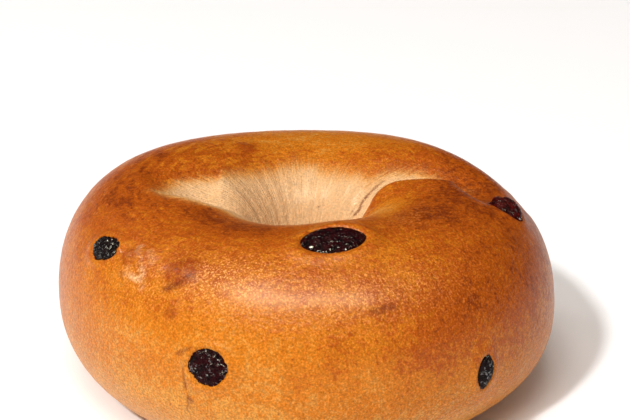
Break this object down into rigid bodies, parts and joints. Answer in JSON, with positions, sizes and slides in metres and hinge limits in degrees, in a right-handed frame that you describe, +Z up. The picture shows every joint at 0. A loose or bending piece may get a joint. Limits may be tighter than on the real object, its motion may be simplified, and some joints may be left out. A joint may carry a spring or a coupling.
{
  "type": "bagel",
  "caption": "Round raisin bagel: a thick ring of glossy browned bread with a small centre hole, a rope-end seam across its crown and raisins set in its crust.",
  "frame": {"origin": "middle of the flat underside, on the surface that the bagel lies on", "axes": "+Z up through the hole; -Y towards the side with the round raisin"},
  "size_m": [0.1155, 0.1163, 0.0479],
  "materials": {
    "crust": "browned, smooth and lightly glossy bread crust, paler in the hole and near the base",
    "raisin": "wrinkled, dark and glossy"
  },
  "bodies": {
    "root": {"bread": "crust", "raisin_left": "raisin", "raisin_round": "raisin", "raisin_centre": "raisin", "raisin_right": "raisin", "raisin_low": "raisin", "raisin_back_high": "raisin", "raisin_back_middle": "raisin", "raisin_back_left": "raisin", "raisin_side_left": "raisin", "raisin_side_right": "raisin", "raisin_under": "raisin"}
  },
  "joints": []
}
